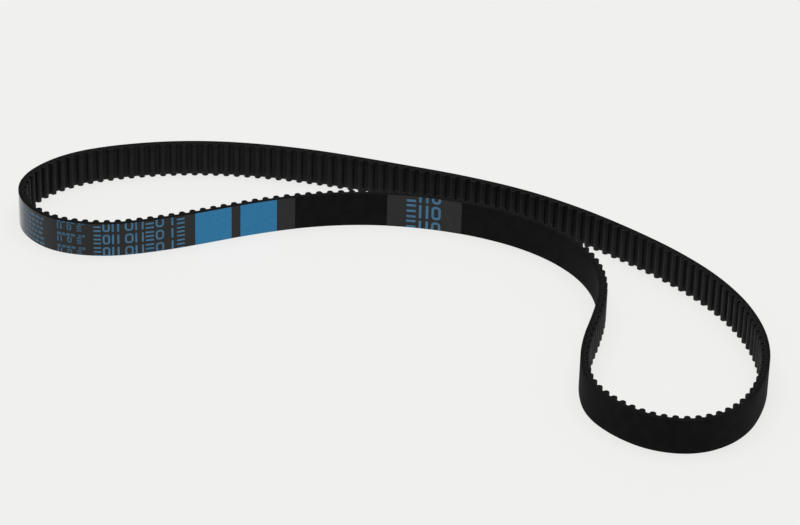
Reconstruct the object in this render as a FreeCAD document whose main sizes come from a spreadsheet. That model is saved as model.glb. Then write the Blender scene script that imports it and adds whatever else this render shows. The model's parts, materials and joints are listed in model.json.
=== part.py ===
import FreeCAD, Part

import math
import os

# A rubber timing belt, 191 teeth on a 3 mm pitch, standing on its edge as a free loop.
#
# Frame: millimetres, +Z up along the belt's width, lower edge at Z = 0, origin under the middle of the
# loop. The centre line of the glass cords (the pitch line) is a closed chain of tangent arcs in plan.
# Distances along the belt are measured on that pitch line, from the left end of the loop and along
# the near strand first. "Side" is the distance from the pitch line, positive towards the belt's back.

Vector = FreeCAD.Vector
UP = Vector(0, 0, 1)
TINY = 1e-9

DIMENSIONS = [
    # alias, value in millimetres or a plain count
    ("tooth_pitch", 3.0),
    ("tooth_count", 191),
    ("belt_width", 10.0),
    ("pitch_line_above_land", 0.381),
    ("back_above_land", 1.23),
    ("tooth_height", 1.17),
    ("tooth_tip_radius", 0.86),
    ("tooth_root_radius", 0.3),
    ("first_tooth_at", 2.1),
    ("facing_on_land", 0.2),
    ("facing_on_tooth", 0.23),
    ("cord_diameter", 0.35),
    ("cord_spacing", 0.95),
    ("cord_turns", 5),
    ("film_thickness", 0.05),
    ("ink_thickness", 0.03),
    ("long_film_start", -4.0),
    ("long_film_length", 92.1),
    ("batch_film_start", 113.9),
    ("batch_film_length", 21.0),
    ("first_block_start", 59.3),
    ("second_block_start", 72.4),
    ("block_length", 10.5),
    ("maker_marks_start", 8.4),
    ("maker_first_row_low", 0.6),
    ("maker_row_pitch", 1.55),
    ("maker_row_count", 6),
    ("maker_mark_height", 0.8),
    ("maker_mark_gap", 0.4),
    ("origin_marks_start", 21.6),
    ("origin_first_row_low", -0.4),
    ("origin_row_pitch", 3.9),
    ("origin_mark_height", 1.9),
    ("origin_line_height", 0.8),
    ("origin_mark_stroke", 0.4),
    ("size_marks_start", 31.5),
    ("size_first_row_low", -0.2),
    ("size_row_pitch", 3.9),
    ("size_mark_height", 3.0),
    ("size_mark_stroke", 0.52),
    ("batch_marks_start", 119.3),
    ("batch_first_row_low", -1.7),
    ("batch_row_pitch", 5.0),
    ("batch_mark_height", 4.2),
    ("batch_mark_stroke", 0.7),
]

# The loop in plan, anticlockwise from its left end: x, y and heading in degrees. It has the shape that
# a free belt settles in: a tight left end, a near strand that bows in, a narrow neck and a teardrop end.
ROUTE = [
    (-99.5, 39.5, -90.0),
    (-92.5, 25.5, -39.0),
    (-77.5, 21.0, 0.0),
    (-62.0, 24.0, 18.0),
    (-43.0, 31.5, 23.0),
    (-24.5, 38.0, 15.0),
    (-1.0, 41.0, -1.0),
    (22.5, 37.2, -17.0),
    (44.0, 26.0, -39.5),
    (57.0, 6.8, -74.0),
    (57.3, -13.0, -101.0),
    (52.6, -36.0, -96.0),
    (56.5, -55.0, -54.0),
    (77.0, -66.5, 1.0),
    (91.0, -59.5, 49.0),
    (98.0, -45.0, 75.0),
    (98.5, -21.5, 102.0),
    (84.5, 7.0, 129.0),
    (61.5, 29.0, 141.5),
    (34.0, 46.0, 156.0),
    (11.5, 54.2, 163.5),
    ("straight", 16.0),
    (-27.0, 64.4, 170.0),
    (-51.0, 66.5, 181.0),
    (-74.5, 63.0, 195.5),
    (-89.5, 56.3, 216.0),
]

# Start and length of each dash in one row of generic small print, from the row's left end.
ORIGIN_DASHES = ((0.0, 1.0), (1.3, 1.0), (2.6, 1.0), (3.9, 1.1), (5.9, 0.6), (6.8, 0.8))
MAKER_DASHES = (1.0, 1.5, 0.7, 1.2, 0.9, 1.6, 1.1)
MAKER_DASHES_PER_ROW = 6


# ---------------------------------------------------------------- document and dimensions

doc = FreeCAD.newDocument("timing_belt")
sheet = doc.addObject("Spreadsheet::Sheet", "dimensions")
for row, (alias, value) in enumerate(DIMENSIONS, start=1):
    sheet.set("A%d" % row, alias)
    sheet.set("B%d" % row, str(value))
    sheet.setAlias("B%d" % row, alias)
doc.recompute()


def size(alias):
    """A driving dimension read back from the sheet."""
    return float(sheet.get(alias))


TOOTH_PITCH = size("tooth_pitch")
TOOTH_COUNT = int(size("tooth_count"))
WIDTH = size("belt_width")
LAND = -size("pitch_line_above_land")
BACK = LAND + size("back_above_land")
FILM_TOP = BACK + size("film_thickness")
FACING_TOP = LAND + size("facing_on_land")
CORD_RADIUS = size("cord_diameter") / 2


# ---------------------------------------------------------------- the pitch line


def arc_between(x, y, heading, x_end, y_end):
    """The arc from one point to another that leaves at the heading: x, y, heading, length, bend."""
    dx = x_end - x
    dy = y_end - y
    chord = math.hypot(dx, dy)
    ahead = math.cos(heading) * dx + math.sin(heading) * dy
    aside = math.cos(heading) * dy - math.sin(heading) * dx
    half_turn = math.atan2(aside, ahead)
    if abs(half_turn) < TINY:
        return (x, y, heading, chord, 0.0)
    return (x, y, heading, chord * half_turn / math.sin(half_turn), 2 * math.sin(half_turn) / chord)


def two_arcs(x, y, heading, x_end, y_end, end_heading):
    """Two tangent arcs that join a point and heading to the next, with equal tangent lengths."""
    dx = x_end - x
    dy = y_end - y
    cos_a, sin_a = math.cos(heading), math.sin(heading)
    cos_b, sin_b = math.cos(end_heading), math.sin(end_heading)
    along = dx * (cos_a + cos_b) + dy * (sin_a + sin_b)
    square = dx * dx + dy * dy
    spread = 2 * (1 - cos_a * cos_b - sin_a * sin_b)
    tangent = (math.sqrt(along * along + spread * square) - along) / spread
    x_mid = (x + tangent * cos_a + x_end - tangent * cos_b) / 2
    y_mid = (y + tangent * sin_a + y_end - tangent * sin_b) / 2
    first = arc_between(x, y, heading, x_mid, y_mid)
    second = arc_between(x_mid, y_mid, heading + first[3] * first[4], x_end, y_end)
    return [first, second]


def nearest_turn(heading, previous):
    """The same heading, written within half a turn of the one before it."""
    return heading + 2 * math.pi * round((previous - heading) / (2 * math.pi))


def pitch_line():
    """The route as arcs and one straight, scaled so that it is exactly tooth_count pitches long."""
    x, y, heading = ROUTE[0][0], ROUTE[0][1], math.radians(ROUTE[0][2])
    pieces = []
    for point in ROUTE[1:] + ROUTE[:1]:
        if point[0] == "straight":
            pieces.append((x, y, heading, point[1], 0.0))
            x += point[1] * math.cos(heading)
            y += point[1] * math.sin(heading)
            continue
        end_heading = nearest_turn(math.radians(point[2]), heading)
        pieces += two_arcs(x, y, heading, point[0], point[1], end_heading)
        x, y, heading = point[0], point[1], end_heading
    scale = TOOTH_PITCH * TOOTH_COUNT / sum(piece[3] for piece in pieces)
    return [(px * scale, py * scale, angle, run * scale, bend / scale) for px, py, angle, run, bend in pieces]


PIECES = pitch_line()
STARTS = [sum(piece[3] for piece in PIECES[:i]) for i in range(len(PIECES) + 1)]
LOOP = STARTS[-1]


def on_piece(piece, travelled, side, z=0.0):
    """The point of one piece at a distance along it and to the side of it."""
    x, y, heading, run, bend = piece
    turned = heading + bend * travelled
    if bend == 0.0:
        x += travelled * math.cos(heading)
        y += travelled * math.sin(heading)
    else:
        x += (math.sin(turned) - math.sin(heading)) / bend
        y -= (math.cos(turned) - math.cos(heading)) / bend
    return Vector(x + side * math.sin(turned), y - side * math.cos(turned), z)


def spans(start, end):
    """The pieces between two stations as (piece, from, to); the stations may pass the loop's seam."""
    found = []
    for lap in (-1, 0, 1):
        for piece, begins in zip(PIECES, STARTS):
            low = max(start, begins + lap * LOOP)
            high = min(end, begins + piece[3] + lap * LOOP)
            if high - low > 1e-6:
                offset = begins + lap * LOOP
                found.append((low, piece, low - offset, high - offset))
    return [(piece, low, high) for _, piece, low, high in sorted(found, key=lambda item: item[0])]


def station(distance, side):
    """The point at a station along the loop, and the heading there."""
    distance = distance % LOOP
    index = max(i for i in range(len(PIECES)) if STARTS[i] <= distance + TINY)
    piece = PIECES[index]
    travelled = distance - STARTS[index]
    return on_piece(piece, travelled, side), piece[2] + piece[4] * travelled


def edge_through(piece, low, high, side, z=0.0):
    """One arc or straight edge that runs beside a piece of the pitch line."""
    first = on_piece(piece, low, side, z)
    last = on_piece(piece, high, side, z)
    if piece[4] == 0.0:
        return Part.LineSegment(first, last).toShape()
    return Part.Arc(first, on_piece(piece, (low + high) / 2, side, z), last).toShape()


def edges_along(start, end, side, z=0.0):
    return [edge_through(piece, low, high, side, z) for piece, low, high in spans(start, end)]


# ---------------------------------------------------------------- outlines and document objects


def ring_face(outer, inner):
    return Part.makeFace([Part.Wire(outer), Part.Wire(inner)], "Part::FaceMakerBullseye")


def strip_outline(start, end, inner_side, outer_side):
    """A thin strip that follows the belt between two stations and two sides, as a closed outline."""
    near = edges_along(start, end, inner_side)
    far = edges_along(start, end, outer_side)
    ends = []
    for distance in (start, end):
        low, _ = station(distance, inner_side)
        high, _ = station(distance, outer_side)
        ends.append(Part.LineSegment(low, high).toShape())
    return near + far + ends


def strip_face(start, end, inner_side, outer_side):
    outline = strip_outline(start, end, inner_side, outer_side)
    return Part.Face(Part.Wire(Part.sortEdges(outline)[0]))


def padded_body(label, edges, height_alias):
    """A PartDesign body: one sketch of the plan outline on the XY plane, padded up by a sheet dimension."""
    body = doc.addObject("PartDesign::Body", label)
    body.Label = label
    sketch = body.newObject("Sketcher::SketchObject", label + "_plan")
    plane = [item for item in body.Origin.OriginFeatures if item.Role == "XY_Plane"][0]
    sketch.AttachmentSupport = [(plane, "")]
    sketch.MapMode = "FlatFace"
    sketch.addGeometry([edge_geometry(edge) for edge in edges], False)
    pad = body.newObject("PartDesign::Pad", label + "_pad")
    pad.Profile = sketch
    pad.setExpression("Length", "dimensions." + height_alias)
    body.Tip = pad
    return body


def edge_geometry(edge):
    """The sketch geometry of a straight or circular edge."""
    if isinstance(edge.Curve, Part.Line):
        return Part.LineSegment(edge.Vertexes[0].Point, edge.Vertexes[-1].Point)
    low, high = edge.ParameterRange
    return Part.Arc(edge.valueAt(low), edge.valueAt((low + high) / 2), edge.valueAt(high))


def extruded(label, face, height_alias):
    """A Part extrusion of a plan face whose height is bound to a sheet dimension."""
    outline = doc.addObject("Part::Feature", label + "_plan")
    outline.Shape = face
    solid = doc.addObject("Part::Extrusion", label)
    solid.Label = label
    solid.Base = outline
    solid.DirMode = "Custom"
    solid.Dir = UP
    solid.Solid = True
    solid.setExpression("LengthFwd", "dimensions." + height_alias)
    return solid


def fixed_shape(label, shape):
    """A Part::Feature for a shape that only Part's own functions can make; Placement comes after Shape."""
    feature = doc.addObject("Part::Feature", label)
    feature.Label = label
    feature.Shape = shape
    feature.Placement = FreeCAD.Placement()
    return feature


# ---------------------------------------------------------------- tooth form


class ToothForm:
    """Half of the rounded tooth: a root fillet that runs tangent into the round tip.

    The fillet's centre sits beside the tooth, one root radius below the land, and the tip's centre on the
    tooth's own axis. One fillet touches the outside of the facing; the other, larger one, on the same
    centre, is the rubber under it.
    """

    def __init__(self, cover):
        self.tip_radius = size("tooth_tip_radius") - cover
        self.root_radius = size("tooth_root_radius") + cover
        self.root_depth = size("tooth_root_radius")
        self.tip_depth = size("tooth_height") - size("tooth_tip_radius")
        reach = self.tip_radius + self.root_radius
        self.root_centre = math.sqrt(reach**2 - (self.tip_depth - self.root_depth) ** 2)
        self.land_depth = -size("facing_on_land") if cover else 0.0
        fall = self.root_depth - self.land_depth
        self.half_width = self.root_centre - math.sqrt(max(self.root_radius**2 - fall**2, 0.0))
        self.tip_share = self.tip_radius / reach

    def flank(self):
        """Where the fillet runs into the tip: distance from the tooth's axis and depth below the land."""
        across = self.root_centre * self.tip_share
        down = self.tip_depth + (self.root_depth - self.tip_depth) * self.tip_share
        return across, down

    def fillet_middle(self):
        """The point halfway round the root fillet."""
        across, down = self.flank()
        start = math.atan2(self.land_depth - self.root_depth, self.half_width - self.root_centre)
        end = math.atan2(down - self.root_depth, across - self.root_centre)
        if end > 0:
            end -= 2 * math.pi
        middle = (start + end) / 2
        return (
            self.root_centre + self.root_radius * math.cos(middle),
            self.root_depth + self.root_radius * math.sin(middle),
        )

    def tip(self):
        return 0.0, self.tip_depth + self.tip_radius


OUTSIDE = ToothForm(0.0)
RUBBER = ToothForm(size("facing_on_tooth"))


def tooth_station(number):
    return size("first_tooth_at") + number * TOOTH_PITCH


def tooth_edges(number, form, land_side):
    """The outline of one tooth between its two ends on the land: fillet, round tip, fillet."""
    centre = tooth_station(number)
    origin, heading = station(centre, LAND)
    ahead = Vector(math.cos(heading), math.sin(heading), 0)
    inward = Vector(-math.sin(heading), math.cos(heading), 0)

    def place(across, depth):
        return origin + ahead * across + inward * depth

    flank_across, flank_depth = form.flank()
    middle_across, middle_depth = form.fillet_middle()
    start, _ = station(centre - form.half_width, land_side)
    end, _ = station(centre + form.half_width, land_side)
    rear_flank = place(-flank_across, flank_depth)
    front_flank = place(flank_across, flank_depth)
    return [
        Part.Arc(start, place(-middle_across, middle_depth), rear_flank).toShape(),
        Part.Arc(rear_flank, place(*form.tip()), front_flank).toShape(),
        Part.Arc(front_flank, place(middle_across, middle_depth), end).toShape(),
    ]


def toothed_outline(form, land_side):
    """The whole closed outline of the toothed side: every tooth and the land up to the next one."""
    edges = []
    for number in range(TOOTH_COUNT):
        edges += tooth_edges(number, form, land_side)
        land_start = tooth_station(number) + form.half_width
        land_end = tooth_station(number + 1) - form.half_width
        edges += edges_along(land_start, land_end, land_side)
    return edges


# ---------------------------------------------------------------- rubber, facing and cords


def tooth_cores():
    """The rubber of the teeth: one solid for each tooth, its top on the inner face of the backing."""
    faces = []
    for number in range(TOOTH_COUNT):
        centre = tooth_station(number)
        top = edges_along(centre - RUBBER.half_width, centre + RUBBER.half_width, FACING_TOP)
        outline = tooth_edges(number, RUBBER, FACING_TOP) + top
        faces.append(Part.Face(Part.Wire(Part.sortEdges(outline)[0])))
    return extruded("tooth_rubber", Part.makeCompound(faces), "belt_width")


def tooth_facing():
    """The nylon facing: one endless skin over every tooth and land."""
    rubber_side = toothed_outline(RUBBER, FACING_TOP)
    pulley_side = toothed_outline(OUTSIDE, LAND)
    return extruded("tooth_facing", ring_face(rubber_side, pulley_side), "belt_width")


def step_piece():
    """The straight piece of the loop, where each turn of cord climbs to the next, and its stations."""
    index = [piece[4] for piece in PIECES].index(0.0)
    return PIECES[index], STARTS[index], STARTS[index + 1]


def climb_edges(low_z, high_z):
    """Two tangent arcs in the straight's own vertical plane that raise the cord by one lead."""
    piece, _, _ = step_piece()
    run = piece[3]
    rise = high_z - low_z
    radius = (run**2 + rise**2) / (4 * rise)
    half_angle = math.asin((run / 2) / radius) / 2
    quarter_run = radius * math.sin(half_angle)
    quarter_rise = radius * (1 - math.cos(half_angle))
    first = on_piece(piece, 0.0, 0.0, low_z)
    last = on_piece(piece, run, 0.0, high_z)
    middle = on_piece(piece, run / 2, 0.0, (low_z + high_z) / 2)
    below = on_piece(piece, quarter_run, 0.0, low_z + quarter_rise)
    above = on_piece(piece, run - quarter_run, 0.0, high_z - quarter_rise)
    return [Part.Arc(first, below, middle).toShape(), Part.Arc(middle, above, last).toShape()]


def tensile_cord(label, first_z):
    """One continuous glass cord: cord_turns turns round the loop, climbing one lead at each straight."""
    lead = 2 * size("cord_spacing")
    turns = int(size("cord_turns"))
    _, step_start, step_end = step_piece()
    edges = []
    for turn in range(turns):
        z = first_z + turn * lead
        edges += edges_along(step_end, step_start + LOOP, 0.0, z)
        if turn < turns - 1:
            edges += climb_edges(z, z + lead)
    path = Part.Wire(edges)
    start = path.Edges[0].valueAt(path.Edges[0].FirstParameter)
    direction = path.Edges[0].tangentAt(path.Edges[0].FirstParameter)
    section = Part.Wire(Part.Circle(start, direction, CORD_RADIUS).toShape())
    return fixed_shape(label, path.makePipe(Part.Face(section)))


def backing(cords):
    """The rubber backing: a padded ring with a channel moulded round each cord."""
    outer = edges_along(0.0, LOOP, BACK)
    inner = edges_along(0.0, LOOP, FACING_TOP)
    ring = padded_body("backing_ring", outer + inner, "belt_width")
    channels = doc.addObject("Part::MultiFuse", "cord_channels")
    channels.Shapes = cords
    cut = doc.addObject("Part::Cut", "backing")
    cut.Label = "backing"
    cut.Base = ring
    cut.Tool = channels
    return cut


# ---------------------------------------------------------------- transfer films and ink


def film(label, start_alias, length_alias):
    start = size(start_alias)
    outline = strip_outline(start, start + size(length_alias), BACK, FILM_TOP)
    return padded_body(label, Part.sortEdges(outline)[0], "belt_width")


def ink_block(label, start_alias):
    start = size(start_alias)
    ink_top = FILM_TOP + size("ink_thickness")
    outline = strip_outline(start, start + size("block_length"), FILM_TOP, ink_top)
    return padded_body(label, Part.sortEdges(outline)[0], "belt_width")


def ink_stroke(start, end, low, high):
    """One printed stroke on a film, cut off where it would pass the belt's edges."""
    low = max(low, 0.0)
    high = min(high, WIDTH)
    if high - low < size("ink_thickness"):
        return None
    face = strip_face(start, end, FILM_TOP, FILM_TOP + size("ink_thickness"))
    face.translate(Vector(0, 0, low))
    return face.extrude(UP * (high - low))


def printed_row(label, strokes):
    """A row of generic marks as one node: separate thin strokes of ink."""
    solids = [ink_stroke(*stroke) for stroke in strokes]
    return fixed_shape(label, Part.makeCompound([solid for solid in solids if solid]))


def open_box_mark(start, width, low, height, stroke):
    """A hollow upright box: two uprights, with a top and a foot between them."""
    inner_start = start + stroke
    inner_end = start + width - stroke
    return [
        (start, inner_start, low, low + height),
        (inner_end, start + width, low, low + height),
        (inner_start, inner_end, low, low + stroke),
        (inner_start, inner_end, low + height - stroke, low + height),
    ]


def stacked_mark(start, width, low, height, stroke):
    """Three level bars, one above another."""
    rise = (height - stroke) / 2
    return [(start, start + width, low + level * rise, low + level * rise + stroke) for level in range(3)]


def paired_mark(start, width, low, height, stroke):
    """Two uprights at the sides of the mark's place."""
    right = start + width - stroke
    return [(start, start + stroke, low, low + height), (right, right + stroke, low, low + height)]


def upright_mark(start, width, low, height, stroke):
    """A single upright in the middle of its place."""
    left = start + (width - stroke) / 2
    return [(left, left + stroke, low, low + height)]


def row_of_marks(marks, group, low):
    """The strokes of one row, from the maker, the start and the width of each of its marks."""
    left = size(group + "_marks_start")
    height = size(group + "_mark_height")
    stroke = size(group + "_mark_stroke")
    strokes = []
    for make_mark, start, width in marks:
        strokes += make_mark(left + start, width, low, height, stroke)
    return strokes


ROW_NAMES = ("lower", "middle", "upper")


def row_lows(group):
    """The names of a group's three rows and the height of each row's foot; the edges cut the outer rows."""
    lowest = size(group + "_first_row_low")
    return [(name, lowest + number * size(group + "_row_pitch")) for number, name in enumerate(ROW_NAMES)]


def size_mark_rows():
    """Three rows of tall marks, in three groups, where a belt carries its size code."""
    marks = [
        (stacked_mark, 0.0, 1.95),
        (open_box_mark, 2.4, 1.95),
        (paired_mark, 4.85, 1.95),
        (open_box_mark, 8.3, 2.3),
        (paired_mark, 11.1, 2.3),
        (stacked_mark, 13.9, 2.3),
        (open_box_mark, 16.7, 2.3),
        (upright_mark, 20.9, 0.9),
        (stacked_mark, 22.6, 2.2),
    ]
    return [
        printed_row("size_marks_%s_row" % name, row_of_marks(marks, "size", low))
        for name, low in row_lows("size")
    ]


def batch_mark_rows():
    """Three rows of larger marks on the second film."""
    marks = [(stacked_mark, 0.0, 2.65), (paired_mark, 3.5, 2.65), (open_box_mark, 7.05, 2.65)]
    return [
        printed_row("batch_marks_%s_row" % name, row_of_marks(marks, "batch", low))
        for name, low in row_lows("batch")
    ]


def origin_mark_rows():
    """Three rows of small marks: two uprights, a box and three bars, with a broken line over them."""
    marks = [(paired_mark, 0.0, 1.3), (open_box_mark, 2.7, 1.3), (stacked_mark, 5.4, 1.3)]
    left = size("origin_marks_start")
    rows = []
    for name, low in row_lows("origin"):
        strokes = row_of_marks(marks, "origin", low)
        line_low = low + size("origin_mark_height") + size("origin_mark_stroke") / 2
        for dash_start, dash_length in ORIGIN_DASHES:
            start = left + dash_start
            strokes.append((start, start + dash_length, line_low, line_low + size("origin_line_height")))
        rows.append(printed_row("origin_marks_%s_row" % name, strokes))
    return rows


def maker_mark_rows():
    """Rows of short dashes of uneven length, where a belt carries its small print."""
    rows = []
    for number in range(int(size("maker_row_count"))):
        low = size("maker_first_row_low") + number * size("maker_row_pitch")
        left = size("maker_marks_start")
        strokes = []
        for place in range(MAKER_DASHES_PER_ROW):
            length = MAKER_DASHES[(place * 3 + number * 2) % len(MAKER_DASHES)]
            strokes.append((left, left + length, low, low + size("maker_mark_height")))
            left += length + size("maker_mark_gap")
        rows.append(printed_row("maker_marks_row_%d" % (number + 1), strokes))
    return rows


# ---------------------------------------------------------------- build, check and write

first_cord_z = (WIDTH - (2 * size("cord_turns") - 1) * size("cord_spacing")) / 2
cord_s = tensile_cord("tensile_cord_s", first_cord_z)
cord_z = tensile_cord("tensile_cord_z", first_cord_z + size("cord_spacing"))
nodes = [cord_s, cord_z, backing([cord_s, cord_z]), tooth_cores(), tooth_facing()]
nodes.append(film("long_label_film", "long_film_start", "long_film_length"))
nodes.append(film("batch_label_film", "batch_film_start", "batch_film_length"))
nodes.append(ink_block("ink_block_first", "first_block_start"))
nodes.append(ink_block("ink_block_second", "second_block_start"))
nodes += maker_mark_rows() + origin_mark_rows() + size_mark_rows() + batch_mark_rows()

doc.recompute()

for item in doc.Objects:
    if "Invalid" in item.State or "Error" in item.State:
        raise RuntimeError("%s failed: %s" % (item.Label, item.State))
for node in nodes:
    if node.Shape.isNull() or not node.Shape.isValid() or not node.Shape.Solids:
        raise RuntimeError("%s has no valid solid" % node.Label)

os.makedirs("parts", exist_ok=True)
for node in nodes:
    node.Shape.exportStep("parts/%s.step" % node.Label)
    counts = (node.Label, len(node.Shape.Solids), len(node.Shape.Faces), node.Shape.Volume)
    print("%-26s solids %3d faces %4d volume %9.3f" % counts)
around = [station(distance / 10, BACK)[0] for distance in range(int(LOOP * 10))]
print("back x %.2f..%.2f" % (min(point.x for point in around), max(point.x for point in around)))
print("back y %.2f..%.2f" % (min(point.y for point in around), max(point.y for point in around)))
print("pitch line %.3f mm in %d pieces" % (LOOP, len(PIECES)))
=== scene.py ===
"""A relaxed rubber timing belt that stands on its edge on a pale floor, 191 teeth on a 3 mm pitch.

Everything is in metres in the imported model's frame. The pitch line of the belt is the same closed chain
of tangent arcs as in the model, and every visible layer is rebuilt along it at a finer step: the ground
rubber back, the rubber and the nylon facing of the teeth, the dark transfer films and the printed marks.
"""

import json
import math

import bmesh
import bpy
import numpy as np
from mathutils import Matrix, Vector

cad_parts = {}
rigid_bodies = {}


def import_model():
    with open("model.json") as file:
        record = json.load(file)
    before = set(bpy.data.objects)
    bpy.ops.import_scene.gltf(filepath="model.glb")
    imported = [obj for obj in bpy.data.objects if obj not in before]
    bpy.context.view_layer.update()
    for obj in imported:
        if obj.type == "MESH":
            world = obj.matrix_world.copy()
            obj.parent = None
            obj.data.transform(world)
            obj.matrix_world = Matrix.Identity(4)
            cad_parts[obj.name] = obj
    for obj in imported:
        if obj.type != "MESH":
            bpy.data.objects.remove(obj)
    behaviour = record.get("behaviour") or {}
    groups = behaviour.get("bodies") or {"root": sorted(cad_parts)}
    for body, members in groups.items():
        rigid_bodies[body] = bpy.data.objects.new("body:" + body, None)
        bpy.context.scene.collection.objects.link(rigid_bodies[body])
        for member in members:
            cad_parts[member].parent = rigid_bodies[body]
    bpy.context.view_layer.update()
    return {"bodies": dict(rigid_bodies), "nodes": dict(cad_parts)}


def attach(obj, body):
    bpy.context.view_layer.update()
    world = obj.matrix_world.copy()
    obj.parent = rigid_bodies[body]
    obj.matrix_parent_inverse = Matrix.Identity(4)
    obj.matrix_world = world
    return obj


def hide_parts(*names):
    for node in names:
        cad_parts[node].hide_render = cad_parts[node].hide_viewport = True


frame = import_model()
BODY = next(iter(frame["bodies"]))

# ---------------------------------------------------------------- sizes, in millimetres

MM = 0.001
TOOTH_PITCH = 3.0
TOOTH_COUNT = 191
WIDTH = 10.0
LAND = -0.381
BACK = LAND + 1.23
TOOTH_HEIGHT = 1.17
TIP_RADIUS = 0.86
ROOT_RADIUS = 0.3
FIRST_TOOTH_AT = 2.1
FACING_ON_LAND = 0.2
FACING_ON_TOOTH = 0.23
FACING_TOP = LAND + FACING_ON_LAND
FILM = 0.05
INK = 0.03
FILM_TOP = BACK + FILM
INK_TOP = FILM_TOP + INK
EDGE_ROUND = 0.09  # radius of the back's softened edges
INSET = 0.04  # how far the films and inks stop short of the cut edges

# Where things stand along the belt, from its left end: (start, length) or the start alone.
LONG_FILM = (-4.0, 92.1)
BATCH_FILM = (113.9, 21.0)
FIRST_BLOCK = (59.3, 10.5)
SECOND_BLOCK = (72.4, 10.5)
MAKER_MARKS_START = 8.4
ORIGIN_MARKS_START = 21.6
SIZE_MARKS_START = 31.5
BATCH_MARKS_START = 119.3

# The loop in plan, anticlockwise from its left end: x, y and heading in degrees.
ROUTE = [
    (-99.5, 39.5, -90.0),
    (-92.5, 25.5, -39.0),
    (-77.5, 21.0, 0.0),
    (-62.0, 24.0, 18.0),
    (-43.0, 31.5, 23.0),
    (-24.5, 38.0, 15.0),
    (-1.0, 41.0, -1.0),
    (22.5, 37.2, -17.0),
    (44.0, 26.0, -39.5),
    (57.0, 6.8, -74.0),
    (57.3, -13.0, -101.0),
    (52.6, -36.0, -96.0),
    (56.5, -55.0, -54.0),
    (77.0, -66.5, 1.0),
    (91.0, -59.5, 49.0),
    (98.0, -45.0, 75.0),
    (98.5, -21.5, 102.0),
    (84.5, 7.0, 129.0),
    (61.5, 29.0, 141.5),
    (34.0, 46.0, 156.0),
    (11.5, 54.2, 163.5),
    ("straight", 16.0),
    (-27.0, 64.4, 170.0),
    (-51.0, 66.5, 181.0),
    (-74.5, 63.0, 195.5),
    (-89.5, 56.3, 216.0),
]


# ---------------------------------------------------------------- the pitch line


def arc_between(x, y, heading, x_end, y_end):
    """The arc from one point to another that leaves at the heading: x, y, heading, length, bend."""
    dx = x_end - x
    dy = y_end - y
    chord = math.hypot(dx, dy)
    ahead = math.cos(heading) * dx + math.sin(heading) * dy
    aside = math.cos(heading) * dy - math.sin(heading) * dx
    half_turn = math.atan2(aside, ahead)
    return (x, y, heading, chord * half_turn / math.sin(half_turn), 2 * math.sin(half_turn) / chord)


def two_arcs(x, y, heading, x_end, y_end, end_heading):
    """Two tangent arcs that join a point and heading to the next, with equal tangent lengths."""
    dx = x_end - x
    dy = y_end - y
    cos_a, sin_a = math.cos(heading), math.sin(heading)
    cos_b, sin_b = math.cos(end_heading), math.sin(end_heading)
    along = dx * (cos_a + cos_b) + dy * (sin_a + sin_b)
    spread = 2 * (1 - cos_a * cos_b - sin_a * sin_b)
    tangent = (math.sqrt(along * along + spread * (dx * dx + dy * dy)) - along) / spread
    x_mid = (x + tangent * cos_a + x_end - tangent * cos_b) / 2
    y_mid = (y + tangent * sin_a + y_end - tangent * sin_b) / 2
    first = arc_between(x, y, heading, x_mid, y_mid)
    return [first, arc_between(x_mid, y_mid, heading + first[3] * first[4], x_end, y_end)]


def pitch_line():
    """The route as arcs and one straight, scaled so that it is exactly TOOTH_COUNT pitches long."""
    x, y, heading = ROUTE[0][0], ROUTE[0][1], math.radians(ROUTE[0][2])
    pieces = []
    for point in ROUTE[1:] + ROUTE[:1]:
        if point[0] == "straight":
            pieces.append((x, y, heading, point[1], 0.0))
            x += point[1] * math.cos(heading)
            y += point[1] * math.sin(heading)
            continue
        end_heading = math.radians(point[2])
        end_heading += 2 * math.pi * round((heading - end_heading) / (2 * math.pi))
        pieces += two_arcs(x, y, heading, point[0], point[1], end_heading)
        x, y, heading = point[0], point[1], end_heading
    scale = TOOTH_PITCH * TOOTH_COUNT / sum(piece[3] for piece in pieces)
    return np.array([(a * scale, b * scale, c, d * scale, e / scale) for a, b, c, d, e in pieces])


PIECES = pitch_line()
STARTS = np.concatenate([[0.0], np.cumsum(PIECES[:, 3])])
LOOP = STARTS[-1]


def along_belt(distance, side):
    """Points (x, y) beside the pitch line, in millimetres, and headings; side is positive to the back."""
    distance = np.mod(np.asarray(distance, float), LOOP)
    index = np.clip(np.searchsorted(STARTS, distance, side="right") - 1, 0, len(PIECES) - 1)
    x, y, heading, _, bend = PIECES[index].T
    travelled = distance - STARTS[index]
    turned = heading + bend * travelled
    straight = bend == 0.0
    radius = 1 / np.where(straight, 1.0, bend)
    dx = np.where(straight, travelled * np.cos(heading), (np.sin(turned) - np.sin(heading)) * radius)
    dy = np.where(straight, travelled * np.sin(heading), (np.cos(heading) - np.cos(turned)) * radius)
    return np.stack([x + dx + side * np.sin(turned), y + dy - side * np.cos(turned)], -1), turned


# ---------------------------------------------------------------- meshes


def make_object(name, vertices, faces, smooth_angle=40.0):
    """An object from vertices in millimetres, with smooth shading between faces that meet gently."""
    mesh = bpy.data.meshes.new(name)
    mesh.from_pydata([tuple(v) for v in np.asarray(vertices) * MM], [], [tuple(f) for f in faces])
    mesh.update()
    obj = bpy.data.objects.new(name, mesh)
    bpy.context.collection.objects.link(obj)
    tidy = bmesh.new()
    tidy.from_mesh(mesh)
    bmesh.ops.recalc_face_normals(tidy, faces=tidy.faces)
    for edge in tidy.edges:
        if len(edge.link_faces) == 2:
            edge.smooth = edge.calc_face_angle(0.0) < math.radians(smooth_angle)
    for face in tidy.faces:
        face.smooth = True
    tidy.to_mesh(mesh)
    tidy.free()
    return obj


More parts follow.
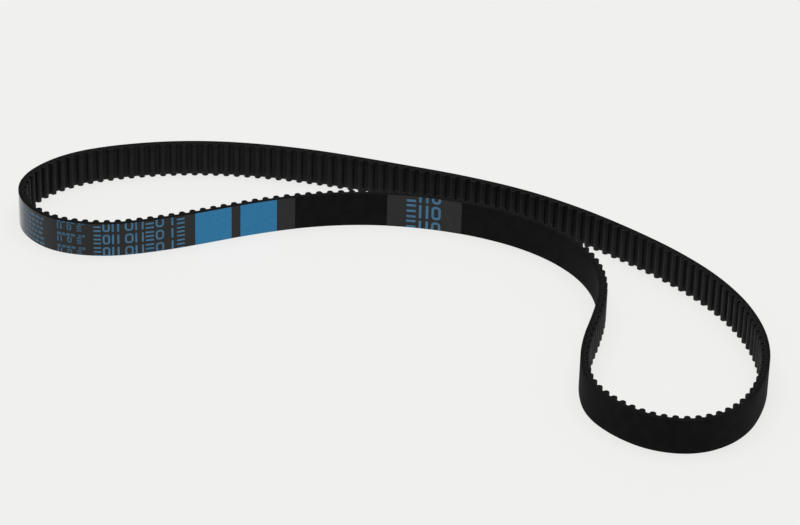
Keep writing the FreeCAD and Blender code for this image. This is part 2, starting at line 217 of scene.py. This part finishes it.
def grid_faces(rows, columns, wrap_rows=False, wrap_columns=False):
    """Quads over a grid of vertices numbered row by row."""
    faces = []
    for i in range(rows if wrap_rows else rows - 1):
        for j in range(columns if wrap_columns else columns - 1):
            a, b = i * columns, ((i + 1) % rows) * columns
            k = (j + 1) % columns
            faces.append((a + j, b + j, b + k, a + k))
    return faces


def ring_along(name, section, step=0.75):
    """A closed section of (side, z) points swept round the whole loop."""
    count = int(round(LOOP / step))
    distance = np.arange(count) * LOOP / count
    rows = []
    for side, z in section:
        points, _ = along_belt(distance, side)
        rows.append(np.column_stack([points, np.full(count, z)]))
    vertices = np.stack(rows, 1).reshape(-1, 3)
    return make_object(name, vertices, grid_faces(count, len(section), True, True))


def rounded_corner(side, z, side_sign, z_sign, radius, steps=4):
    """Points of a corner's quarter round, from its flank on the side to its flank in z."""
    turns = np.linspace(0, math.pi / 2, steps + 1)
    return [
        (
            side - side_sign * radius * (1 - math.cos(turn)),
            z - z_sign * radius * (1 - math.sin(turn)),
        )
        for turn in turns
    ]


# ---------------------------------------------------------------- tooth form


class ToothForm:
    """Half of the rounded tooth: a root fillet that runs tangent into the round tip."""

    def __init__(self, cover):
        self.tip_radius = TIP_RADIUS - cover
        self.root_radius = ROOT_RADIUS + cover
        self.tip_depth = TOOTH_HEIGHT - TIP_RADIUS
        reach = self.tip_radius + self.root_radius
        self.root_centre = math.sqrt(reach**2 - (self.tip_depth - ROOT_RADIUS) ** 2)
        self.land_depth = -FACING_ON_LAND if cover else 0.0
        fall = ROOT_RADIUS - self.land_depth
        self.half_width = self.root_centre - math.sqrt(max(self.root_radius**2 - fall**2, 0.0))
        share = self.tip_radius / reach
        self.flank = (self.root_centre * share, self.tip_depth + (ROOT_RADIUS - self.tip_depth) * share)

    def half_outline(self, fillet_steps, tip_steps):
        """Points (across, depth) from the land's end, round the root, to the middle of the tip."""
        start = math.atan2(self.land_depth - ROOT_RADIUS, self.half_width - self.root_centre)
        end = math.atan2(self.flank[1] - ROOT_RADIUS, self.flank[0] - self.root_centre)
        if end > 0:
            end -= 2 * math.pi
        fillet = [
            (
                self.root_centre + self.root_radius * math.cos(turn),
                ROOT_RADIUS + self.root_radius * math.sin(turn),
            )
            for turn in np.linspace(start, end, fillet_steps + 1)
        ]
        low = math.atan2(self.flank[1] - self.tip_depth, self.flank[0])
        tip = [
            (self.tip_radius * math.cos(turn), self.tip_depth + self.tip_radius * math.sin(turn))
            for turn in np.linspace(low, math.pi / 2, tip_steps + 1)[1:]
        ]
        return fillet + tip


OUTSIDE = ToothForm(0.0)
RUBBER = ToothForm(FACING_ON_TOOTH)
FILLET_STEPS = 5
TIP_STEPS = 7


def tooth_points(number, form, land_side):
    """The plan outline of one tooth, from its rear end on the land to its front end."""
    centre = FIRST_TOOTH_AT + number * TOOTH_PITCH
    origin, heading = along_belt(centre, LAND)
    ahead = np.array([math.cos(heading), math.sin(heading)])
    inward = np.array([-math.sin(heading), math.cos(heading)])
    half = np.array(form.half_outline(FILLET_STEPS, TIP_STEPS))
    front = origin + half[::-1, :1] * ahead + half[::-1, 1:] * inward
    rear = origin - half[:-1, :1] * ahead + half[:-1, 1:] * inward
    points = np.vstack([rear, front])
    # the two ends lie on the curved land, and the fillets ease on to it
    for end, sign in ((0, -1), (-1, 1)):
        on_land, _ = along_belt(centre + sign * form.half_width, land_side)
        shift = on_land - points[end]
        for place in range(FILLET_STEPS + 1):
            index = place if end == 0 else -1 - place
            points[index] += shift * (1 - place / FILLET_STEPS) ** 2
    return points


def toothed_line(form, land_side, land_steps=3):
    """The whole plan outline of the toothed side, teeth and lands, with the same count for any form."""
    parts = []
    for number in range(TOOTH_COUNT):
        parts.append(tooth_points(number, form, land_side))
        start = FIRST_TOOTH_AT + number * TOOTH_PITCH + form.half_width
        end = FIRST_TOOTH_AT + (number + 1) * TOOTH_PITCH - form.half_width
        land, _ = along_belt(np.linspace(start, end, land_steps + 2)[1:-1], land_side)
        parts.append(land)
    return np.vstack(parts)


# ---------------------------------------------------------------- pieces


def rubber_back():
    """The endless backing: a flat ground back with slightly rounded edges, cut square at both sides."""
    section = rounded_corner(BACK, WIDTH, 1, 1, EDGE_ROUND)
    section += [(side, WIDTH) for side in np.linspace(BACK - EDGE_ROUND, FACING_TOP, 5)[1:]]
    section += [(FACING_TOP, 0.0)]
    section += [(side, 0.0) for side in np.linspace(FACING_TOP, BACK - EDGE_ROUND, 5)[1:-1]]
    section += rounded_corner(BACK, 0.0, 1, -1, EDGE_ROUND)[::-1]
    section += [(BACK, z) for z in np.linspace(0, WIDTH, 6)[1:-1]]
    return ring_along("rubber_back", section)


def facing_skin():
    """The nylon facing: a skin over every tooth and land, its cut edges drawn in a little."""
    pulley_side = toothed_line(OUTSIDE, LAND)
    rubber_side = toothed_line(RUBBER, FACING_TOP)
    count = len(pulley_side)
    inward = pulley_side - rubber_side
    inward /= np.linalg.norm(inward, axis=1)[:, None]
    levels = [(0.0, 0.07), (0.03, 0.02), (0.08, 0.0), (2.5, 0.0), (5.0, 0.0), (7.5, 0.0)]
    levels += [(WIDTH - z, draw) for z, draw in levels[2::-1]]
    rows = [np.column_stack([rubber_side, np.zeros(count)])]
    rows += [np.column_stack([pulley_side - draw * inward, np.full(count, z)]) for z, draw in levels]
    rows.append(np.column_stack([rubber_side, np.full(count, WIDTH)]))
    vertices = np.stack(rows, 1).reshape(-1, 3)
    return make_object("facing_skin", vertices, grid_faces(count, len(rows), True, True), 50.0)


def tooth_cores():
    """The rubber inside the facing: one closed prism for each tooth."""
    vertices, faces = [], []
    for number in range(TOOTH_COUNT):
        outline = tooth_points(number, RUBBER, FACING_TOP)
        centre = FIRST_TOOTH_AT + number * TOOTH_PITCH
        across = np.linspace(RUBBER.half_width, -RUBBER.half_width, 6)[1:-1]
        top, _ = along_belt(centre + across, FACING_TOP)
        outline = np.vstack([outline, top])
        count = len(outline)
        base = len(vertices)
        vertices += [(x, y, 0.0) for x, y in outline] + [(x, y, WIDTH) for x, y in outline]
        faces.append(tuple(range(base, base + count)))
        faces.append(tuple(range(base + count, base + 2 * count)))
        for i in range(count):
            j = (i + 1) % count
            faces.append((base + i, base + j, base + count + j, base + count + i))
    return make_object("tooth_cores", vertices, faces)


def plate(distances, lows, highs, bottom_side, top_side):
    """Vertices and faces of a thin plate on the back: its z limits are given at each distance."""
    count = len(distances)
    vertices = []
    for side in (bottom_side, top_side):
        points, _ = along_belt(distances, side)
        for levels in (lows, highs):
            vertices += [(x, y, z) for (x, y), z in zip(points, levels)]
    under_low, under_high, over_low, over_high = (np.arange(count) + k * count for k in range(4))
    faces = []
    for i in range(count - 1):
        j = i + 1
        faces.append((over_low[i], over_low[j], over_high[j], over_high[i]))
        faces.append((under_low[i], under_high[i], under_high[j], under_low[j]))
        faces.append((under_low[i], under_low[j], over_low[j], over_low[i]))
        faces.append((under_high[i], over_high[i], over_high[j], under_high[j]))
    for i in (0, count - 1):
        faces.append((under_low[i], over_low[i], over_high[i], under_high[i]))
    return vertices, faces


def rounded_plate(start, length, low, high, radius, bottom_side, top_side, step=0.4):
    """A plate with rounded corners in the plane of the back."""
    corner = radius * (1 - np.cos(np.linspace(0, math.pi / 2, 5)))
    middle = np.linspace(radius, length - radius, max(2, int(length / step)))
    places = np.concatenate([corner[:-1], middle, (length - corner[:-1])[::-1]])
    from_end = np.minimum(places, length - places)
    dip = radius - np.sqrt(np.clip(radius**2 - np.clip(radius - from_end, 0, radius) ** 2, 0, None))
    return plate(start + places, low + dip, high - dip, bottom_side, top_side)


def film(name, start, length):
    """A thin transfer film across the whole back."""
    vertices, faces = rounded_plate(start, length, INSET, WIDTH - INSET, 0.12, BACK, FILM_TOP)
    return make_object(name, vertices, faces, 30.0)


def ink_block(name, start, length):
    """A solid block of ink on a film, across the whole back."""
    vertices, faces = rounded_plate(start, length, INSET, WIDTH - INSET, 0.1, FILM_TOP, INK_TOP)
    return make_object(name, vertices, faces, 30.0)


def ring_plate(start, width, low, height, stroke):
    """An upright rounded box outline: two loops of points joined over the ink's thickness."""
    loops = []
    for inset, radius in ((0.0, 0.42 * width), (stroke, max(0.42 * width - stroke, 0.1))):
        w, h = width - 2 * inset, height - 2 * inset
        points = []
        for corner in range(4):
            cx = w - radius if corner in (0, 3) else radius
            cz = h - radius if corner in (0, 1) else radius
            for turn in np.linspace(corner * math.pi / 2, (corner + 1) * math.pi / 2, 7):
                points.append((inset + cx + radius * math.cos(turn), inset + cz + radius * math.sin(turn)))
        loops.append(np.array(points))
    count = len(loops[0])
    vertices = []
    for side in (FILM_TOP, INK_TOP):
        for points in loops:
            flat, _ = along_belt(start + points[:, 0], side)
            vertices += [(x, y, low + z) for (x, y), z in zip(flat, points[:, 1])]
    faces = []
    for i in range(count):
        j = (i + 1) % count
        faces.append((2 * count + i, 2 * count + j, 3 * count + j, 3 * count + i))
        faces.append((i, count + i, count + j, j))
        faces.append((i, j, 2 * count + j, 2 * count + i))
        faces.append((count + i, 3 * count + i, 3 * count + j, count + j))
    return vertices, faces


def bar_plate(start, width, low, height):
    """A level or upright bar of ink with slightly rounded corners."""
    radius = min(0.12, 0.3 * min(width, height))
    return rounded_plate(start, width, low, low + height, radius, FILM_TOP, INK_TOP)


def box_mark(start, width, low, height, stroke):
    """A hollow upright box with round corners."""
    return [ring_plate(start, width, low, height, stroke)]


def stacked_mark(start, width, low, height, stroke):
    """Three level bars, one above another."""
    rise = (height - stroke) / 2
    return [bar_plate(start, width, low + level * rise, stroke) for level in range(3)]


def paired_mark(start, width, low, height, stroke):
    """Two uprights at the sides of the mark's place."""
    return [bar_plate(left, stroke, low, height) for left in (start, start + width - stroke)]


def upright_mark(start, width, low, height, stroke):
    """A single upright in the middle of its place."""
    return [bar_plate(start + (width - stroke) / 2, stroke, low, height)]


def printed_row(name, plates):
    """One object from many small plates, trimmed at the belt's two edges."""
    vertices, faces = [], []
    for plate_vertices, plate_faces in plates:
        base = len(vertices)
        vertices += plate_vertices
        faces += [tuple(base + int(k) for k in face) for face in plate_faces]
    obj = make_object(name, vertices, faces, 30.0)
    trimmed = bmesh.new()
    trimmed.from_mesh(obj.data)
    for z, up in ((INSET, -1), (WIDTH - INSET, 1)):
        cut = bmesh.ops.bisect_plane(
            trimmed,
            geom=trimmed.verts[:] + trimmed.edges[:] + trimmed.faces[:],
            plane_co=(0, 0, z * MM),
            plane_no=(0, 0, up),
            clear_outer=True,
        )
        open_edges = [item for item in cut["geom_cut"] if isinstance(item, bmesh.types.BMEdge)]
        bmesh.ops.holes_fill(trimmed, edges=[edge for edge in open_edges if edge.is_valid], sides=0)
    trimmed.to_mesh(obj.data)
    trimmed.free()
    return obj


ROW_NAMES = ("lower", "middle", "upper")


def rows_of_marks(group, marks, left, lowest, row_pitch, height, stroke):
    """Three repeats of one row of marks, one above another, as one object each."""
    made = []
    for number, row_name in enumerate(ROW_NAMES):
        plates = []
        for make_mark, start, width in marks:
            plates += make_mark(left + start, width, lowest + number * row_pitch, height, stroke)
        made.append(printed_row("%s_marks_%s" % (group, row_name), plates))
    return made


def size_rows():
    """Three rows of tall marks, in three groups."""
    marks = [
        (stacked_mark, 0.0, 1.95),
        (box_mark, 2.4, 1.95),
        (paired_mark, 4.85, 1.95),
        (box_mark, 8.3, 2.3),
        (paired_mark, 11.1, 2.3),
        (stacked_mark, 13.9, 2.3),
        (box_mark, 16.7, 2.3),
        (upright_mark, 20.9, 0.9),
        (stacked_mark, 22.6, 2.2),
    ]
    sizes = {"lowest": -0.2, "row_pitch": 3.9, "height": 3.0, "stroke": 0.52}
    return rows_of_marks("size", marks, SIZE_MARKS_START, **sizes)


def batch_rows():
    """Three rows of larger marks on the second film."""
    marks = [(stacked_mark, 0.0, 2.65), (paired_mark, 3.5, 2.65), (box_mark, 7.05, 2.65)]
    sizes = {"lowest": -1.7, "row_pitch": 5.0, "height": 4.2, "stroke": 0.7}
    return rows_of_marks("batch", marks, BATCH_MARKS_START, **sizes)


def origin_rows():
    """Three rows of small marks under broken lines."""
    left = ORIGIN_MARKS_START
    lowest, row_pitch = -0.4, 3.9
    height, stroke, line_height = 1.9, 0.4, 0.8
    dashes = ((0.0, 1.0), (1.3, 1.0), (2.6, 1.0), (3.9, 1.1), (5.9, 0.6), (6.8, 0.8))
    made = []
    for number, row_name in enumerate(ROW_NAMES):
        low = lowest + number * row_pitch
        plates = paired_mark(left, 1.3, low, height, stroke)
        plates += box_mark(left + 2.7, 1.3, low, height, stroke)
        plates += stacked_mark(left + 5.4, 1.3, low, height, stroke)
        for start, length in dashes:
            plates.append(bar_plate(left + start, length, low + height + stroke / 2, line_height))
        made.append(printed_row("origin_marks_%s" % row_name, plates))
    return made


def maker_rows():
    """Six rows of short dashes of uneven length."""
    dashes = (1.0, 1.5, 0.7, 1.2, 0.9, 1.6, 1.1)
    lowest, row_pitch, height, gap = 0.6, 1.55, 0.8, 0.4
    made = []
    for number in range(6):
        plates = []
        left = MAKER_MARKS_START
        for place in range(6):
            length = dashes[(place * 3 + number * 2) % len(dashes)]
            plates.append(bar_plate(left, length, lowest + number * row_pitch, height))
            left += length + gap
        made.append(printed_row("maker_marks_%d" % (number + 1), plates))
    return made


# ---------------------------------------------------------------- materials


def new_material(name, colour, roughness, specular):
    """A material and its principled shader."""
    material = bpy.data.materials.new(name)
    material.use_nodes = True
    shader = material.node_tree.nodes["Principled BSDF"]
    shader.inputs["Base Color"].default_value = (*colour, 1)
    shader.inputs["Roughness"].default_value = roughness
    shader.inputs["Specular IOR Level"].default_value = specular
    return material, shader


def add_node(material, kind, **settings):
    """A shader node; the settings name its sockets, or else its own properties."""
    node = material.node_tree.nodes.new(kind)
    for key, value in settings.items():
        if key in node.inputs:
            node.inputs[key].default_value = value
        else:
            setattr(node, key.lower(), value)
    return node


def join(material, source, target):
    material.node_tree.links.new(source, target)


def object_coordinates(material):
    return add_node(material, "ShaderNodeTexCoord").outputs["Object"]


def noise(material, scale, detail=3.0, roughness=0.5, stretch=None):
    """Noise in object space, in repeats per metre; stretch squeezes it along the axes."""
    coordinates = object_coordinates(material)
    if stretch:
        mapping = add_node(material, "ShaderNodeMapping")
        mapping.inputs["Scale"].default_value = stretch
        join(material, coordinates, mapping.inputs["Vector"])
        coordinates = mapping.outputs["Vector"]
    node = add_node(material, "ShaderNodeTexNoise", Scale=scale, Detail=detail, Roughness=roughness)
    join(material, coordinates, node.inputs["Vector"])
    return node.outputs["Fac"]


def ramp(material, value, stops):
    """Colours spread between the stops of a value."""
    node = add_node(material, "ShaderNodeValToRGB")
    elements = node.color_ramp.elements
    while len(elements) < len(stops):
        elements.new(0.5)
    for element, (position, colour) in zip(elements, stops):
        element.position = position
        element.color = (*colour, 1) if len(colour) == 3 else colour
    join(material, value, node.inputs["Fac"])
    return node.outputs["Color"]


def bump(material, shader, height, strength, distance, under=None):
    node = add_node(material, "ShaderNodeBump", Strength=strength, Distance=distance)
    join(material, height, node.inputs["Height"])
    if under:
        join(material, under, node.inputs["Normal"])
    join(material, node.outputs["Normal"], shader.inputs["Normal"])
    return node.outputs["Normal"]


def back_rubber_material():
    """Black rubber: the ground back is matt with fine grinding lines along the belt."""
    material, shader = new_material("back_rubber", (0.006, 0.006, 0.0061), 0.85, 0.08)
    cloud = noise(material, 260.0, 4.0, 0.6)
    tones = ramp(material, cloud, [(0.3, (0.005, 0.005, 0.0051)), (0.7, (0.0095, 0.0094, 0.0093))])
    join(material, tones, shader.inputs["Base Color"])
    grain = noise(material, 9000.0, 3.0, 0.6)
    lines = noise(material, 1500.0, 2.0, 0.5, (0.15, 0.15, 4.0))
    first = bump(material, shader, grain, 0.35, 0.00003)
    bump(material, shader, lines, 0.25, 0.00002, first)
    return material


def nylon_material():
    """Black nylon facing: a fine twill of crossed threads with a faint sheen."""
    material, shader = new_material("nylon_facing", (0.004, 0.004, 0.0042), 0.6, 0.22)
    shader.inputs["Sheen Weight"].default_value = 0.03
    shader.inputs["Sheen Roughness"].default_value = 0.4
    cloud = noise(material, 420.0, 4.0, 0.6)
    tones = ramp(material, cloud, [(0.3, (0.0025, 0.0025, 0.0027)), (0.7, (0.0065, 0.0065, 0.0067))])
    join(material, tones, shader.inputs["Base Color"])
    threads = add_node(material, "ShaderNodeTexWave", Scale=900.0, Distortion=0.6, Detail=1.0)
    threads.bands_direction = "Z"
    join(material, object_coordinates(material), threads.inputs["Vector"])
    weave = noise(material, 5200.0, 2.0, 0.5)
    first = bump(material, shader, threads.outputs["Fac"], 0.35, 0.00003)
    bump(material, shader, weave, 0.4, 0.00003, first)
    return material


def cut_rubber_material():
    """The cut edge of the tooth rubber: matt, speckled where the blade has torn it."""
    material, shader = new_material("cut_rubber", (0.004, 0.004, 0.004), 0.75, 0.12)
    grain = noise(material, 4200.0, 4.0, 0.6)
    tones = ramp(material, grain, [(0.35, (0.002, 0.002, 0.002)), (0.75, (0.007, 0.0065, 0.006))])
    join(material, tones, shader.inputs["Base Color"])
    bump(material, shader, grain, 0.4, 0.00004)
    return material


def film_material():
    """Dark grey transfer film with the faint print of the cloth that pressed it."""
    material, shader = new_material("label_film", (0.0105, 0.0103, 0.01), 0.38, 0.28)
    shader.inputs["Sheen Weight"].default_value = 1.0
    shader.inputs["Sheen Roughness"].default_value = 0.3
    cloud = noise(material, 300.0, 4.0, 0.6)
    tones = ramp(material, cloud, [(0.3, (0.0085, 0.0082, 0.0079)), (0.7, (0.0128, 0.0124, 0.012))])
    join(material, tones, shader.inputs["Base Color"])
    grain = noise(material, 6500.0, 2.0, 0.5)
    bump(material, shader, grain, 0.2, 0.00003)
    return material


def ink_material(name, dark, light):
    """Blue transfer ink, a little uneven, with a fine grain."""
    material, shader = new_material(name, light, 0.45, 0.3)
    shader.inputs["Sheen Weight"].default_value = 0.6
    shader.inputs["Sheen Roughness"].default_value = 0.3
    cloud = noise(material, 900.0, 4.0, 0.6)
    join(material, ramp(material, cloud, [(0.25, dark), (0.75, light)]), shader.inputs["Base Color"])
    grain = noise(material, 7000.0, 2.0, 0.5)
    bump(material, shader, grain, 0.18, 0.00002)
    return material


def cord_material():
    """Treated glass cord: pale straw strands that wind round it."""
    material, shader = new_material("glass_cord", (0.6, 0.55, 0.42), 0.5, 0.5)
    strands = add_node(material, "ShaderNodeTexWave", Scale=2500.0, Distortion=0.4)
    strands.bands_direction = "DIAGONAL"
    join(material, object_coordinates(material), strands.inputs["Vector"])
    tones = ramp(material, strands.outputs["Fac"], [(0.2, (0.42, 0.37, 0.26)), (0.8, (0.66, 0.61, 0.48))])
    join(material, tones, shader.inputs["Base Color"])
    bump(material, shader, strands.outputs["Fac"], 0.5, 0.00003)
    return material


def dress(obj, material):
    """Gives an object this one material."""
    obj.data.materials.clear()
    obj.data.materials.append(material)


# ---------------------------------------------------------------- stage, light and camera


def stage():
    """A plain pale floor, wide enough for any view."""
    bpy.ops.mesh.primitive_plane_add(size=6.0, location=(0, 0, 0))
    floor = bpy.context.object
    floor.name = "floor"
    material, shader = new_material("floor", (0.15, 0.15, 0.149), 0.6, 0.1)
    shader.inputs["Emission Color"].default_value = (1.0, 1.0, 0.985, 1)
    shader.inputs["Emission Strength"].default_value = 0.74
    dress(floor, material)


def area_light(name, location, target, size_xy, power):
    """A rectangular soft light that faces its target."""
    data = bpy.data.lights.new(name, "AREA")
    data.shape = "RECTANGLE"
    data.size, data.size_y = size_xy
    data.energy = power
    light = bpy.data.objects.new(name, data)
    light.location = location
    light.rotation_euler = (Vector(target) - Vector(location)).to_track_quat("-Z", "Y").to_euler()
    bpy.context.collection.objects.link(light)


def lighting():
    """A dim pale surround and one broad soft light overhead."""
    world = bpy.data.worlds.new("studio")
    world.use_nodes = True
    background = world.node_tree.nodes["Background"]
    background.inputs["Color"].default_value = (0.95, 0.97, 1.0, 1)
    background.inputs["Strength"].default_value = 0.3
    bpy.context.scene.world = world
    area_light("overhead", (0.0, 0.1, 1.1), (0, 0, 0), (1.2, 0.9), 9.0)


def camera():
    """The view that the belt is seen in: low, from the front, through a long lens."""
    pitch_down, roll = math.radians(31.43), math.radians(1.52)
    forward = Vector((0, math.cos(pitch_down), -math.sin(pitch_down)))
    right = Vector((1, 0, 0))
    up = right.cross(forward)
    tilted_right = math.cos(roll) * right + math.sin(roll) * up
    tilted_up = math.cos(roll) * up - math.sin(roll) * right
    data = bpy.data.cameras.new("camera")
    data.sensor_width = 36.0
    data.lens = 158.1
    data.clip_start = 0.01
    obj = bpy.data.objects.new("camera", data)
    turn = Matrix((tilted_right, tilted_up, -forward)).transposed().to_4x4()
    obj.matrix_world = Matrix.Translation(Vector((4.85, -793.84, 497.89)) * MM) @ turn
    bpy.context.collection.objects.link(obj)
    bpy.context.scene.camera = obj


# ---------------------------------------------------------------- making the scene


def place(obj, nodes, slot, material):
    """Dresses a piece, lets it ride on the belt and hides the nodes it stands for."""
    dress(obj, material)
    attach(obj, BODY)
    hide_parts(*nodes)


camera()
stage()
lighting()
bpy.context.scene.view_settings.view_transform = "Standard"

back_rubber = back_rubber_material()
film_look = film_material()
block_ink = ink_material("blue_block_ink", (0.012, 0.21, 0.44), (0.019, 0.25, 0.52))
mark_ink = ink_material("blue_mark_ink", (0.045, 0.17, 0.3), (0.075, 0.23, 0.39))
small_ink = ink_material("blue_small_print_ink", (0.03, 0.105, 0.18), (0.05, 0.16, 0.27))
cord_look = cord_material()

place(rubber_back(), ["backing"], "rubber_backing", back_rubber)
place(tooth_cores(), ["tooth_rubber"], "rubber_teeth", cut_rubber_material())
place(facing_skin(), ["tooth_facing"], "nylon_facing", nylon_material())
place(film("long_film", *LONG_FILM), ["long_label_film"], "label_film", film_look)
place(film("batch_film", *BATCH_FILM), ["batch_label_film"], "label_film", film_look)
place(ink_block("block_first", *FIRST_BLOCK), ["ink_block_first"], "blue_block_ink", block_ink)
place(ink_block("block_second", *SECOND_BLOCK), ["ink_block_second"], "blue_block_ink", block_ink)

groups = (
    ("size", size_rows(), mark_ink),
    ("batch", batch_rows(), mark_ink),
    ("origin", origin_rows(), small_ink),
)
for group, rows, ink in groups:
    for row_name, row in zip(ROW_NAMES, rows):
        place(row, ["%s_marks_%s_row" % (group, row_name)], "blue_mark_ink", ink)
for number, row in enumerate(maker_rows(), start=1):
    place(row, ["maker_marks_row_%d" % number], "blue_mark_ink", small_ink)
for cord in ("tensile_cord_s", "tensile_cord_z"):
    dress(frame["nodes"][cord], cord_look)
